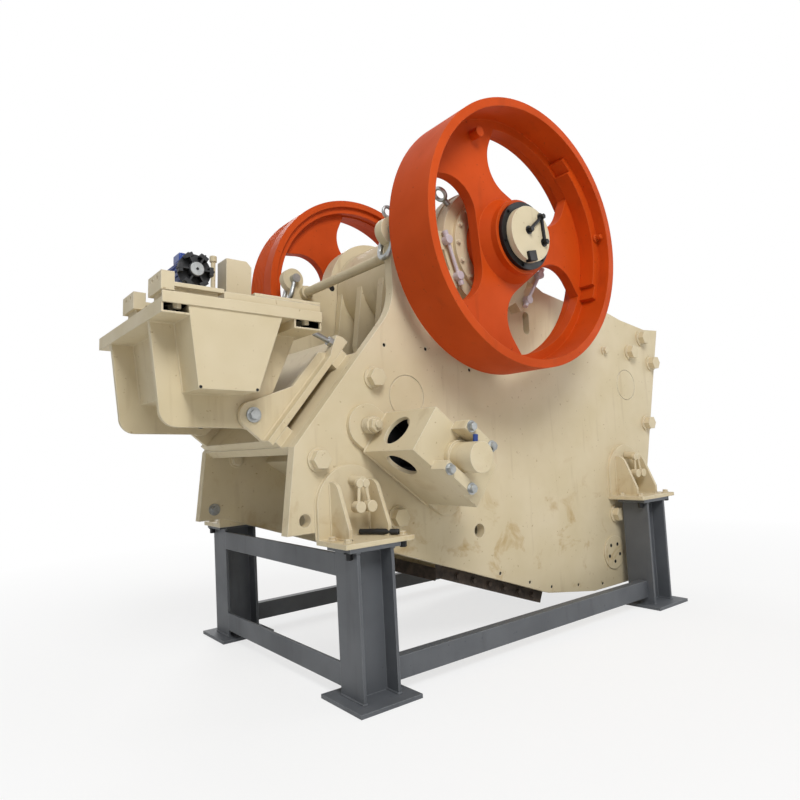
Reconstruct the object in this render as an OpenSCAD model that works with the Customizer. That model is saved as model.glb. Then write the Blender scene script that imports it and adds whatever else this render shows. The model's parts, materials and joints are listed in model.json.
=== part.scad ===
/* [Side plates] */
// Inside width between the two side plates
gap_w = 1138; // [1000:2:1300]
// Gap left between bolted faces
seat_gap = 0.3; // [0.2:0.1:0.5]
// Thickness of each side plate
plate_t = 64; // [40:2:90]
// Height of the shaft axis above the foot brackets
shaft_h = 1684; // [1640:2:1740]
// Corner of the plates at the toggle end: distance behind the shaft and height above the feet
toggle_corner = [1451, 62]; // [40:1:1500]
// Lower end of the rear slope: distance behind the shaft and depth below its axis
slope_foot = [1392, 1184]; // [1100:1:1450]
// Upper end of the rear slope: distance behind the shaft and depth below its axis
slope_head = [955, 679]; // [600:1:1050]
// Low point of the plates: distance before the shaft and depth below the feet
belly = [447, 548]; // [400:1:600]
// Lower corner at the feed end: distance before the shaft and depth below the feet
jaw_foot = [1500, 622]; // [600:1:1550]
// Upper corner at the feed end: distance before the shaft and height above the feet
feed_corner = [2011, 1311]; // [1250:1:2050]
// Radius of the plate round the main bearing
bearing_boss_r = 390; // [360:2:420]
// Distance of the upright rear edge behind the shaft
neck_x = 720; // [680:2:780]
// Radius of the lifting ear on each plate
ear_r = 80; // [70:2:100]
// Radius of the hole in each lifting ear
ear_hole_r = 31; // [20:1:40]
// Radius of the bar hole at the toggle end of each plate
bar_hole_r = 33; // [20:1:50]
// Radius of the sight hole low in each plate
sight_hole_r = 42; // [20:1:60]
// Radius of the flush round cover in each plate
round_cover_r = 126; // [100:1:130]
// Radius of the drilled cover disc low at the feed end
drilled_cover_r = 120; // [80:1:140]

/* [Flywheels] */
// Outside radius of both flywheels
wheel_r = 800; // [720:5:820]
// Width of the flywheel rim
rim_w = 340; // [300:5:380]
// Thickness of the rim at its outer face
rim_t = 49; // [35:1:70]
// Gap between the side plate and the rim
rim_gap = 103; // [95:1:140]
// Thickness of the three spoked web
web_t = 70; // [50:2:90]
// Setback of the web from the outer face of the rim
web_set = 181; // [150:1:190]
// Radius of the hub boss
hub_r = 225; // [215:1:235]
// Angle of the first spoke
spoke_a = 125; // [0:1:359]
// Pitch of the belt grooves in the drive wheel
groove_pitch = 26; // [20:1:30]
// Number of belt grooves in the drive wheel
groove_n = 8; // [4:1:9]

/* [Shaft] */
// Radius of the shaft under the flywheels
shaft_r = 150; // [120:1:160]
// Radius of the shaft in the main bearings
journal_r = 170; // [165:1:190]
// Radius of the eccentric part inside the moving jaw
eccentric_r = 205; // [200:1:225]
// Eccentric throw
throw = 18; // [8:1:20]
// Angle of the eccentric at rest
throw_a = 250; // [0:1:359]
// Radial gap in the bearings
bearing_fit = 0.05; // [0.02:0.01:0.1]
// Radius of the shaft end cap
cap_r = 166; // [155:1:180]
// Radius of the lock ring on the hub
lock_r = 204; // [190:1:214]

/* [Jaws] */
// Radius of the barrel of the moving jaw
barrel_r = 330; // [300:2:340]
// Side gap between the moving jaw and the side plates
pitman_gap = 13; // [8:1:25]
// Thickness of the toothed jaw plates
jaw_t = 105; // [80:1:130]
// Depth of the teeth on the jaw plates
tooth_h = 42; // [25:1:55]
// Number of teeth across each jaw plate
tooth_n = 9; // [5:1:12]
// Thickness of the cheek plates
cheek_t = 40; // [25:1:60]
// Smallest distance between the two jaw plates
setting = 150; // [120:2:200]

/* [Wedge adjuster] */
// Radius of the rounded ends of the adjuster flange
flange_r = 118; // [100:1:124]
// Thickness of the adjuster flange
flange_t = 30; // [20:1:45]
// Size of the adjuster box along and across the toggle line
wedge_box = [512, 264]; // [200:1:560]
// Depth of the adjuster box
wedge_d = 390; // [300:5:420]
// Wall of the adjuster box
wedge_wall = 22; // [12:1:35]
// Radius of the adjuster cylinder
ram_r = 78; // [60:1:84]
// Length of the adjuster cylinder outside its box
ram_l = 180; // [100:5:260]

/* [Motor base] */
// Length of the motor base frame
base_l = 835; // [780:5:860]
// Width of the motor base frame across the machine
base_w = 1190; // [1140:5:1240]
// Height of the hollow beams of the frame
beam_h = 70; // [50:1:90]
// Width of the hollow beams of the frame
beam_w = 160; // [120:2:180]
// Wall of the hollow beams
beam_wall = 9; // [6:1:14]
// Height of the frame's upper face above the pivot
base_rise = 512; // [480:2:540]
// Tilt of the motor base at rest
base_tilt = 2.5; // [0:0.5:5]
// Thickness of the two side gussets
gusset_t = 30; // [20:1:40]
// Distance of the side gussets from the middle of the machine
gusset_y = 346; // [300:2:360]
// Radius of the pivot pins
pivot_r = 32; // [24:1:40]
// Running clearance beside each gusset
pivot_gap = 6; // [5:1:12]

/* [Stand] */
// Height of the stand under the foot brackets
stand_h = 750; // [700:5:900]
// Distance between the legs along the machine
leg_span = 2470; // [2400:5:2500]
// Depth of a leg along the machine
leg_d = 220; // [180:5:240]
// Width of a leg across the machine
leg_w = 200; // [160:5:240]
// Thickness of the leg flanges
leg_flange = 16; // [10:1:24]
// Thickness of the leg webs
leg_web = 10; // [6:1:16]
// Thickness of the plates at both ends of a leg
leg_plate_t = 20; // [12:1:30]
// Side of the square base plate under a leg
leg_base = 360; // [300:5:420]
// Height of the rails between the legs
rail_h = 114; // [80:1:120]
// Width of the rails between the legs
rail_w = 60; // [40:1:80]

/* [Hidden] */
$fn = 96;
cut = 1;
plate_in = gap_w / 2;
plate_out = plate_in + plate_t;

// The shaft axis lies at x = 0 of the machine and at shaft_h above the feet
slope_low = [slope_foot[0], shaft_h - slope_foot[1]];
slope_high = [slope_head[0], shaft_h - slope_head[1]];
slope_a = atan2(slope_high[1] - slope_low[1], slope_low[0] - slope_high[0]);
slope_len = norm(slope_high - slope_low);
edge_lean = (feed_corner[0] - jaw_foot[0]) / (feed_corner[1] + jaw_foot[1]);
feed_edge = function(z) feed_corner[0] - (feed_corner[1] - z) * edge_lean;
belly_fall = 0.353;
neck_r = 340;
ear_x = neck_x - 20;
ear_z = shaft_h + 38;
tie_x = neck_x - 110;
tie_z = shaft_h - 56;
tie_r = 32;
tie_boss_r = 46;
tie_boss_l = 40;

// Flywheels
hub_set = 16;
hub_back = 76;
rim_in = plate_out + rim_gap;
rim_out = rim_in + rim_w;
web_out = rim_out - web_set;
web_in = web_out - web_t;
hub_in = rim_in + hub_set;
hub_out = rim_out - hub_back;
lock_t = 26;
cap_t = 41;

// Main bearings
housing_r = bearing_boss_r - 6;
housing_t = 86;
bearing_cover_r = 310;
bearing_cover_t = 25;
spigot_r = 300;

// Jaws: the lines of their backs run from top to bottom as [distance before the shaft, height]
pitman_y = plate_in - pitman_gap;
jaw_top = shaft_h - 90;
jaw_bottom = 72 - jaw_foot[1];
jaw_plate_drop = 40;
swing_top = 400;
swing_lean = 0.162;
swing_x = function(z) swing_top + (jaw_top - z) * swing_lean;
fixed_face = swing_x(jaw_bottom) + jaw_t + setting;
fixed_lean = edge_lean;
fixed_x = function(z) fixed_face + (z - jaw_bottom) * fixed_lean;
cheek_gap = 14;
jaw_half_w = plate_in - cheek_t - cheek_gap;

// Toggle line, from the adjuster down to the foot of the moving jaw
toggle_a = 38;
wedge_mid = [-690, 385];

// Feet
foot_l = 410;
foot_w = 280;
foot_t = 25;
foot_back_t = 25;
foot_rib_t = 20;
foot_rib_x = 120;
foot_rib_h = 287;
foot_rib_tip = 55;
foot_rib_head = 70;
foot_rib_in = 20;
foot_arch = 392;
foot_toggle_x = -1085;
foot_x = [foot_toggle_x, foot_toggle_x + leg_span];
leg_shift = -32;
leg_y = plate_out + 171;

// Motor base pivot, set off square from the rear slope
pivot_off = 201;
pivot_along = 62;
bracket_lift = 40;
bracket_t = 35;
bracket_half_w = 480;
bracket_l = 745;
bracket_low = -14;
bracket_high = bracket_low + bracket_l;
ear_rib = 48;
ear_bend = 330;
ear_t = 32;
ear_y = gusset_y + gusset_t + pivot_gap;
pivot_boss_r = 75;
pivot_x = -slope_low[0] + pivot_along * cos(slope_a) - pivot_off * sin(slope_a);
pivot_z = slope_low[1] + pivot_along * sin(slope_a) + pivot_off * cos(slope_a);
base_back = 532;

// Box of the whole part along x, which sets the place of the origin
left_end = pivot_x - base_back * cos(base_tilt) + (base_rise - beam_h) * sin(base_tilt);
shaft_x = -(left_end + feed_corner[0]) / 2;

// Side plate details, as [distance before the shaft, height above the feet]
belly_flat = 490;
jaw_chamfer = 152;
// Top edge from the feed corner back: [distance behind the corner, rise over it]
feed_top = [[188, -6], [518, 51], [664, 92], [1158, 128]];
// Front of the bearing boss: [distance before the shaft, depth below its axis]
feed_lip = [596, 194];
boss_shoulder = 90;
bar_hole = [102 - toggle_corner[0], 67 + toggle_corner[1]];
sight_hole = [-151, -66];
plate_slot = [402, 1257];
plate_slot_r = 32;
plate_slot_l = 90;
round_cover = [-660, 754];
feed_cover = [1511, 851];
feed_cover_r = 118;
drilled_cover = [1195, -387];
groove_w = 5;
groove_d = 4;
tapped_r = 11;
tapped_d = 40;
tapped = [
    [154 - slope_high[0], 41 + slope_high[1]], [-500, 1038], [-154, 923], [5, -350],
    [271, -449], [481, -514], [761, -550], [1037, -587]
];
bolt_r = 52;
bolt_h = 44;
washer_r = 62;
washer_t = 12;
bolts = [
    [66 - slope_high[0], slope_high[1] - 147], [130 - slope_low[0], slope_low[1] - 71], [-775, 85],
    [1591, 1110], [1877, 1033], [1749, 550], [1245, -112], [1761, 1232]
];
small_bolts = [[1255, 1110], [700, 1180]];

// Feed end casting and rear wall
front_set = 12;
front_drop = 70;
front_mouth = 100;
front_rib_t = 45;
front_rib_n = 3;
front_row_n = 4;
front_wall = 70;
rear_wall_t = 60;
seat_l = 110;
seat_low = 4;
seat_high = 560;
thrust_l = 90;
thrust_h = 300;
toggle_beam_l = 300;
toggle_beam_h = 290;
beam_side_gap = 1;
toggle_end_r = 46;
toggle_t = 50;
toggle_fit = 0.5;
toggle_half_w = 430;
toggle_start = wedge_mid + (toggle_beam_l / 2) * [cos(toggle_a), -sin(toggle_a)];
seat_clear = 6;
toggle_seat_gap = throw * (1 + cos(throw_a + toggle_a)) + seat_clear;
toggle_l = 640;
toggle_tip = toggle_start + toggle_l * [cos(toggle_a), -sin(toggle_a)];

// Motor base details, measured from the pivot
gusset_low = 68;
gusset_set = 10;
gusset_round = 90;
gusset_back = 470;
box_top = [408, 75];
box_low = [355, 53];
box_h = 390;
box_wall = 14;

deck_t = 22;

// Cheeks, lower beams, bearing housings and covers
cheek_clear = 34;
cheek_low = 60;
cheek_high = 110;
lower_beam_x0 = -417;
lower_beam_w = 60;
lower_beam_drop = 78;
lower_beam_lap = 20;
spigot_set = 6;
housing_lugs = [17, 48, 145, 180];
lug_w = 110;
lug_start = 320;
lug_reach = 455;
cover_gap = 6;
cover_disc_t = 8;
cover_hole_r = 10;
cover_holes = 5;
cover_hole_ring = 66;

// Wedge adjuster details
wedge_bolts = 687;
wedge_shift = -28;
wedge_hole_r = 86;
end_plate_t = 32;
ram_collar = 12;
ram_neck = 30;
ram_in = 60;
clamp_l = 230;
clamp_w = 52;
clamp_h = 105;
clamp_z = ram_r + ram_collar + clamp_w / 2 + 6;
spring_n = 4;
spring_r = [46, 39];
spring_t = [11, 4];
spring_nut_r = 40;
spring_nut_h = 32;
spring_stud_r = 20;
spring_stud_l = 14;

// Stand details
foot_rib_d = 192;
leg_top = [300, 214];
rail_low = 62;
rail_high = 598;
rail_set = 50;

// Moving jaw details: back outline and ribs
ecc = [throw * cos(throw_a), shaft_h + throw * sin(throw_a)];
pitman_back = [400, 1204];
pitman_waist = [340, 700];
pitman_seat_lap = 20;
pitman_block = [60, -200];
pitman_wall = 170;
pitman_rib_n = 5;
pitman_rib_t = 60;

// Motor rails and power pack on the motor base
rail_y = [-585, -130];
motor_rail_w = 200;
motor_rail_h = 80;
motor_rail_l = 300;
rail_flange_t = 20;
rail_web_in = 22;
rail_block_h = 128;
rail_block_l = 62;
rail_block_low = 38;
rail_hole_r = 11;
rail_hole_in = 60;
pump = [-300, -345, 215];
pump_r = 72;
pump_l = 230;
// Foot of the pump: width, start and length along the pump, and its top below the axis
pump_foot = [100, 20, 95, 43];
pump_shaft_end = 6;
fan_r = 92;
fan_t = 46;
fan_hub_r = 39;
fan_hub_proud = 3;
fan_disc_r = 87;
fan_blade_t = 8;
fan_gap = 8;
fan_blades = 6;
tank = [-146, -400];
tank_size = [138, 120, 300];
tank_chamfer = 28;
shackle_r = 16;
shackle_side = 8;
shackle_head = 10;
shackle_drop = 108;
shackle_a = 16;

// Flywheel details
opening_in = 265;
opening_half = 365;
opening_round = 215;
opening_rim = 55;
rim_step = 45;
rim_step_set = 30;
hub_flare_r = 262;
hub_flare_h = 60;
stud_ring = 658;
stud_turn = -11;
stud_r = 30;
stud_l = 70;
spoke_hole_r = 14;
groove_deep = 20;
groove_half = [0.36, 0.2] * groove_pitch;
weight_deep = 60;
weight_end = 34;
weight_step = 7;
weight_t = 105;
weight_a = [-18, 46];

// Tension rods: seat on the bracket as [along the slope, height over it], and lean from square
rod_seat = [671, 105];
rod_lean = 17.7;
rod_y = bracket_half_w - 30;
rod_lug_t = 60;
rod_lug_l = 80;
rod_lug_half = 44;
rod_nut_r = 28;
rod_nut_h = 26;
rod_r = 15;
rod_l = 95;
pump_shaft_r = 14;

// Seat of the toggle on the moving jaw, clear of the toggle by its own swing
seat_mid = toggle_tip + (toggle_end_r + toggle_seat_gap) * [cos(toggle_a), -sin(toggle_a)];
seat_half = 85;
pitman_seat = [
    seat_mid + seat_half * [sin(toggle_a), cos(toggle_a)],
    seat_mid - seat_half * [sin(toggle_a), cos(toggle_a)]
];

cream = "#d8c9a3";
orange = "#cf4f22";
dark_grey = "#46494c";
steel = "#8b8d8f";
brown = "#4a3f36";
black = "#1d1e20";
blue = "#1d3f8f";

// Places the machine on the stand with its shaft over shaft_x
module on_stand() {
    translate([shaft_x, 0, stand_h]) children();
}

// Places a ground-based piece
module on_floor() {
    translate([shaft_x, 0, 0]) children();
}

// Extrudes an outline drawn in x and z from y0 to y1
module slab(y0, y1) {
    translate([0, y1, 0]) rotate([90, 0, 0]) linear_extrude(y1 - y0) children();
}

// A round bar along y
module bar_y(r, y0, y1) {
    translate([0, y1, 0]) rotate([90, 0, 0]) cylinder(r = r, h = y1 - y0);
}

// A tube along y
module ring_y(r_out, r_in, y0, y1) {
    difference() {
        bar_y(r_out, y0, y1);
        bar_y(r_in, y0 - cut, y1 + cut);
    }
}

// Repeats a piece on the near (-y) and far (+y) side
module both_sides() {
    children();
    mirror([0, 1, 0]) children();
}

// Points of an arc, from angle a0 to a1
function arc(centre, r, a0, a1, n) =
    [for (i = [0:n]) centre + r * [cos(a0 + (a1 - a0) * i / n), sin(a0 + (a1 - a0) * i / n)]];

// Outline of a side plate, with the inner corner below the neck rounded
module plate_outline() {
    bend_x = belly[0] - (toggle_corner[1] + belly[1]) / belly_fall;
    neck_z = slope_high[1] + (slope_high[0] - neck_x) * tan(slope_a);
    neck_mid = [-neck_x - neck_r, neck_z + neck_r * tan((90 - slope_a) / 2)];
    polygon(concat(
        [
            [-toggle_corner[0], toggle_corner[1]],
            [bend_x, toggle_corner[1]],
            [belly[0], -belly[1]],
            [belly[0] + belly_flat, -jaw_foot[1]],
            [jaw_foot[0], -jaw_foot[1]],
            [feed_edge(jaw_chamfer - jaw_foot[1]), jaw_chamfer - jaw_foot[1]],
            feed_corner,
            for (p = feed_top) feed_corner + [-p[0], p[1]],
            [feed_lip[0], shaft_h - feed_lip[1]],
            [bearing_boss_r, shaft_h - boss_shoulder],
            [0, shaft_h],
            [-neck_x, shaft_h]
        ],
        arc(neck_mid, neck_r, 0, slope_a - 90, 12),
        [[-slope_low[0], slope_low[1]]]
    ));
    translate([0, shaft_h]) circle(bearing_boss_r);
    translate([-ear_x, ear_z]) circle(ear_r);
}

// Holes through a side plate
module plate_holes() {
    translate([0, shaft_h]) circle(spigot_r);
    translate([-ear_x, ear_z]) circle(ear_hole_r);
    translate(bar_hole) circle(bar_hole_r);
    translate(sight_hole) circle(sight_hole_r);
    for (dz = [-1, 1]) translate(plate_slot + [0, dz * plate_slot_l / 2]) circle(plate_slot_r);
    translate(plate_slot) square([2 * plate_slot_r, plate_slot_l], center = true);
}

// Blind tapped holes in the outer face
module tapped_holes() {
    for (p = tapped) translate([p[0], 0, p[1]]) bar_y(tapped_r, -plate_out - cut, -plate_out + tapped_d);
}

// Shallow ring groove round the flush cover
module cover_groove(p, r) {
    translate([p[0], 0, p[1]]) ring_y(r, r - groove_w, -plate_out - cut, -plate_out + groove_d);
}

module side_plate() {
    difference() {
        slab(-plate_out, -plate_in) difference() {
            plate_outline();
            plate_holes();
        }
        tapped_holes();
        cover_groove(round_cover, round_cover_r);
        cover_groove(feed_cover, feed_cover_r);
    }
}

module side_plate_near() {
    color(cream) on_stand() side_plate();
}

module side_plate_far() {
    color(cream) on_stand() mirror([0, 1, 0]) side_plate();
}

// Feed end casting that carries the fixed jaw, with pockets between its ribs
module front_frame() {
    back = function(z) fixed_x(z) + jaw_t + seat_gap;
    edge = function(z) feed_edge(z) - front_set;
    low = jaw_chamfer - jaw_foot[1];
    high = feed_corner[1] - front_drop;
    pocket_w = (gap_w - (front_rib_n + 1) * front_rib_t) / front_rib_n;
    pocket_h = (high - low - (front_row_n + 1) * front_rib_t) / front_row_n;
    color(cream) on_stand() difference() {
        slab(-plate_in, plate_in) polygon([
            [back(low), low], [edge(low), low], [edge(high), high], [back(high), high]
        ]);
        for (i = [0:front_rib_n - 1], j = [0:front_row_n - 1]) {
            y0 = -plate_in + front_rib_t + i * (pocket_w + front_rib_t);
            z0 = low + front_rib_t + j * (pocket_h + front_rib_t);
            slab(y0, y0 + pocket_w) polygon([
                [back(z0) + front_wall, z0], [edge(z0) + front_mouth, z0],
                [edge(z0 + pocket_h) + front_mouth, z0 + pocket_h],
                [back(z0 + pocket_h) + front_wall, z0 + pocket_h]
            ]);
        }
    }
}

// Frame of the rear slope: x along the slope, z square to it
module on_slope() {
    on_stand() translate([-slope_low[0], 0, slope_low[1]]) rotate([0, -slope_a, 0]) children();
}

// Sloped rear wall with two seats for the motor bracket and a thrust block behind the toggle beam
module rear_frame() {
    color(cream) {
        on_slope() {
            slab(-plate_in, plate_in) translate([0, -rear_wall_t]) square([slope_len, rear_wall_t]);
            for (x = [seat_low, seat_high])
                translate([x, -bracket_half_w, 0]) cube([seat_l, 2 * bracket_half_w, bracket_lift]);
        }
        on_stand() slab(-plate_in, plate_in) translate(wedge_mid) rotate(-toggle_a)
            translate([-toggle_beam_l / 2 - thrust_l, -thrust_h / 2]) square([thrust_l, thrust_h]);
    }
}

module toggle_beam() {
    color(cream) on_stand() slab(-plate_in + beam_side_gap, plate_in - beam_side_gap) difference() {
        translate(wedge_mid) rotate(-toggle_a) square([toggle_beam_l, toggle_beam_h], center = true);
        translate(toggle_start) circle(toggle_end_r + toggle_fit);
    }
}

// Flat toggle with round ends: one rolls in the beam, the other stands clear of the jaw's seat
module toggle_plate() {
    color(brown) on_stand() slab(-toggle_half_w, toggle_half_w) {
        translate(toggle_start) circle(toggle_end_r);
        translate(toggle_start) rotate(-toggle_a) translate([0, -toggle_t / 2]) square([toggle_l, toggle_t]);
        translate(toggle_start) rotate(-toggle_a) translate([toggle_l, 0]) circle(toggle_end_r);
    }
}

// Toothed profile across a jaw plate: back at y = 0, tooth tips at jaw_t
module tooth_profile() {
    pitch = 2 * jaw_half_w / tooth_n;
    root = jaw_t - tooth_h;
    polygon(concat(
        [[-jaw_half_w, 0], [-jaw_half_w, root]],
        [for (i = [0:tooth_n - 1], k = [0:3])
            [-jaw_half_w + pitch * (i + [0.1, 0.35, 0.65, 0.9][k]), [root, jaw_t, jaw_t, root][k]]],
        [[jaw_half_w, root], [jaw_half_w, 0]]
    ));
}

// A jaw plate that stands on [x, z], leans forward by lean and faces +x
module jaw_plate(foot, lean, len) {
    translate([foot[0], 0, foot[1]]) rotate([0, atan(lean), 0]) rotate([0, 0, -90]) linear_extrude(len)
        tooth_profile();
}

module fixed_jaw_plate() {
    len = (feed_corner[1] - front_drop - jaw_bottom) / cos(atan(fixed_lean));
    color(brown) on_stand() translate([fixed_x(jaw_bottom) + jaw_t, 0, jaw_bottom])
        mirror([1, 0, 0]) jaw_plate([0, 0], -fixed_lean, len);
}

module moving_jaw_plate() {
    len = (jaw_top - jaw_plate_drop - jaw_bottom) / cos(atan(swing_lean));
    color(brown) on_stand() jaw_plate([swing_x(jaw_bottom), jaw_bottom], -swing_lean, len);
}

module cheek_plates() {
    low = jaw_bottom + cheek_low;
    high = feed_corner[1] - cheek_high;
    color(brown) on_stand() both_sides() slab(-plate_in, -plate_in + cheek_t) polygon([
        [swing_x(low) + cheek_clear, low],
        [fixed_x(low) + jaw_t, low],
        [fixed_x(high) + jaw_t, high],
        [swing_x(high) + cheek_clear, high]
    ]);
}

// Bolted beams inside the lower edges of the plates
module lower_beams() {
    along = function(x) -belly[1] - (x - belly[0]) * belly_fall;
    color(brown) on_stand() both_sides() slab(-plate_in, -plate_in + lower_beam_w) polygon([
        [lower_beam_x0, along(lower_beam_x0) - lower_beam_drop],
        [belly[0] - lower_beam_lap, along(belly[0] - lower_beam_lap) - lower_beam_drop],
        [belly[0] + lower_beam_lap, along(belly[0]) + lower_beam_lap],
        [lower_beam_x0, along(lower_beam_x0) + lower_beam_lap]
    ]);
}

module tie_tube() {
    color(cream) on_stand() translate([-tie_x, 0, tie_z]) {
        bar_y(tie_r, -plate_in + tie_boss_l, plate_in - tie_boss_l);
        both_sides() bar_y(tie_boss_r, -plate_in, -plate_in + tie_boss_l);
    }
}

module bearing_housings() {
    bore = journal_r + bearing_fit;
    color(cream) on_stand() translate([0, 0, shaft_h]) both_sides() {
        slab(-plate_out - housing_t, -plate_out) difference() {
            union() {
                circle(housing_r);
                for (a = housing_lugs) rotate(-a) translate([lug_start, -lug_w / 2])
                    square([lug_reach - lug_start, lug_w]);
            }
            circle(bore);
        }
        ring_y(spigot_r, bore, -plate_out, -plate_in - spigot_set);
    }
}

module bearing_covers() {
    face = plate_out + housing_t;
    color(cream) on_stand() translate([0, 0, shaft_h]) both_sides()
        ring_y(bearing_cover_r, journal_r + cover_gap, -face - bearing_cover_t, -face);
}

// Hexagon bolts with washers on the outer faces of the plates
module hex_bolt(r, h, wr, wt) {
    bar_y(wr, -wt, 0);
    translate([0, -wt, 0]) rotate([90, 0, 0]) cylinder(r = r, h = h, $fn = 6);
}

module plate_bolts() {
    color(cream) on_stand() both_sides() translate([0, -plate_out, 0]) {
        for (p = bolts) translate([p[0], 0, p[1]]) hex_bolt(bolt_r, bolt_h, washer_r, washer_t);
        for (p = small_bolts) translate([p[0], 0, p[1]])
            hex_bolt(bolt_r / 2, bolt_h / 2, washer_r / 2, washer_t);
    }
}

module cover_discs() {
    color(cream) on_stand() both_sides() translate([drilled_cover[0], -plate_out, drilled_cover[1]])
        difference() {
            bar_y(drilled_cover_r, -cover_disc_t, 0);
            for (i = [1:cover_holes]) rotate([0, 90 + 360 / cover_holes * i, 0])
                translate([cover_hole_ring, 0, 0]) bar_y(cover_hole_r, -cover_disc_t - cut, cut);
        }
}

// Frame of the wedge adjuster on the near side: x along the toggle line, z across it
module on_wedge() {
    on_stand() translate([wedge_mid[0], -plate_out, wedge_mid[1]]) rotate([0, toggle_a, 0]) children();
}

module wedge_bracket() {
    bolt_x = wedge_bolts / 2;
    box_end = flange_t + wedge_d;
    slab(-flange_t, 0) {
        for (x = [-bolt_x, bolt_x]) translate([x, 0]) circle(flange_r);
        square([2 * bolt_x, 2 * flange_r], center = true);
    }
    difference() {
        slab(-box_end, -flange_t) difference() {
            translate([wedge_shift, 0]) square(wedge_box, center = true);
            translate([wedge_shift, 0]) square(wedge_box - 2 * [wedge_wall, wedge_wall], center = true);
        }
        translate([wedge_shift - wedge_box[0] / 4, -flange_t - wedge_d / 2, 0])
            cylinder(r = wedge_hole_r, h = wedge_box[1] + 2 * cut, center = true);
        translate([wedge_shift, -flange_t - wedge_d / 2, 0]) rotate([0, 90, 0])
            cylinder(r = wedge_hole_r, h = wedge_box[0] + 2 * cut, center = true);
    }
    slab(-box_end - end_plate_t, -box_end) difference() {
        translate([wedge_shift, 0]) square(wedge_box, center = true);
        translate([wedge_shift, 0]) circle(ram_r + ram_collar);
    }
    for (z = [-1, 1]) translate([wedge_shift, -box_end - end_plate_t - clamp_h / 2, z * clamp_z])
        cube([clamp_l, clamp_h, clamp_w], center = true);
}

module wedge_bracket_near() {
    color(cream) on_wedge() wedge_bracket();
}

module wedge_bracket_far() {
    color(cream) mirror([0, 1, 0]) on_wedge() wedge_bracket();
}

module wedge_cylinders() {
    start = flange_t + wedge_d - ram_in;
    neck = flange_t + wedge_d + end_plate_t;
    color(cream) both_sides() on_wedge() translate([wedge_shift, 0, 0]) {
        bar_y(ram_r + ram_collar, -neck - ram_neck, -start);
        bar_y(ram_r, -neck - ram_l, -neck - ram_neck);
    }
}

// Bolts that draw the adjuster flanges against the plates, each on a stack of disc springs
module wedge_spring_bolts() {
    pitch = spring_t[0] + spring_t[1];
    stack = spring_n * pitch;
    color(cream) both_sides() on_wedge() for (x = [-1, 1]) translate([x * wedge_bolts / 2, -flange_t, 0]) {
        bar_y(spring_r[1], -stack, 0);
        for (i = [1:spring_n]) bar_y(spring_r[0], -i * pitch, spring_t[0] - i * pitch);
        translate([0, -stack, 0]) rotate([90, 0, 0]) cylinder(r = spring_nut_r, h = spring_nut_h, $fn = 6);
        bar_y(spring_stud_r, -stack - spring_nut_h - spring_stud_l, -stack);
    }
}

// Foot bracket on the near side at x = 0: arched back, base and two ribs
module foot_bracket() {
    arch_r = foot_l / 2;
    translate([0, -plate_out, 0]) {
        slab(-foot_back_t, 0) difference() {
            union() {
                translate([-arch_r, foot_t]) square([foot_l, foot_arch - foot_t - arch_r]);
                translate([0, foot_arch - arch_r]) circle(arch_r);
            }
            translate([-arch_r, foot_t - arch_r]) square([foot_l, arch_r]);
        }
        translate([-arch_r, -foot_w, seat_gap]) cube([foot_l, foot_w, foot_t - seat_gap]);
        for (x = [-foot_rib_x, foot_rib_x]) translate([x - foot_rib_t / 2, 0, foot_t]) rotate([90, 0, 90])
            linear_extrude(foot_rib_t) polygon(concat(
                [[-foot_back_t, 0], [-foot_rib_d, 0], [-foot_rib_d, foot_rib_tip]],
                arc([-foot_back_t - foot_rib_in, foot_rib_h - foot_rib_head], foot_rib_head, 160, 90, 6),
                [[-foot_back_t, foot_rib_h]]
            ));
    }
}

module foot_at(x, far) {
    color(cream) on_stand() mirror([0, far ? 1 : 0, 0]) translate([x, 0, 0]) foot_bracket();
}

module foot_toggle_near() { foot_at(foot_x[0], false); }
module foot_toggle_far() { foot_at(foot_x[0], true); }
module foot_feed_near() { foot_at(foot_x[1], false); }
module foot_feed_far() { foot_at(foot_x[1], true); }

// Leg at x = 0 on the near side: base plate, H section and top plate
module leg() {
    shaft_len = stand_h - 2 * leg_plate_t;
    translate([-leg_base / 2, -leg_base / 2, 0]) cube([leg_base, leg_base, leg_plate_t]);
    translate([0, 0, leg_plate_t]) linear_extrude(shaft_len) {
        for (x = [-1, 1]) translate([x * (leg_d - leg_flange) / 2, 0])
            square([leg_flange, leg_w], center = true);
        square([leg_d - leg_flange, leg_web], center = true);
    }
    translate([-leg_top[0] / 2, -leg_top[1] / 2, stand_h - leg_plate_t])
        cube([leg_top[0], leg_top[1], leg_plate_t]);
}

module leg_at(x, far) {
    color(dark_grey) on_floor() mirror([0, far ? 1 : 0, 0]) translate([x + leg_shift, -leg_y, 0]) leg();
}

module leg_toggle_near() { leg_at(foot_x[0], false); }
module leg_toggle_far() { leg_at(foot_x[0], true); }
module leg_feed_near() { leg_at(foot_x[1], false); }
module leg_feed_far() { leg_at(foot_x[1], true); }

// Rails across the toggle end, between the outer flanges of the legs
module end_rails() {
    x = foot_x[0] + leg_shift - leg_d / 2;
    inner = leg_y - leg_w / 2;
    color(dark_grey) on_floor() for (z = [rail_low, rail_high]) {
        translate([x, -inner, z]) cube([leg_flange, 2 * inner, rail_h]);
        translate([x + leg_flange, -inner, z]) cube([rail_w - leg_flange, 2 * inner, leg_flange / 2]);
    }
}

// Rails along both sides, between the legs
module side_rails() {
    x0 = foot_x[0] + leg_shift + leg_d / 2;
    x1 = foot_x[1] + leg_shift - leg_d / 2;
    color(dark_grey) on_floor() both_sides()
        translate([x0, rail_set - leg_y - leg_w / 2, rail_low]) cube([x1 - x0, rail_w, rail_h]);
}

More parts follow.
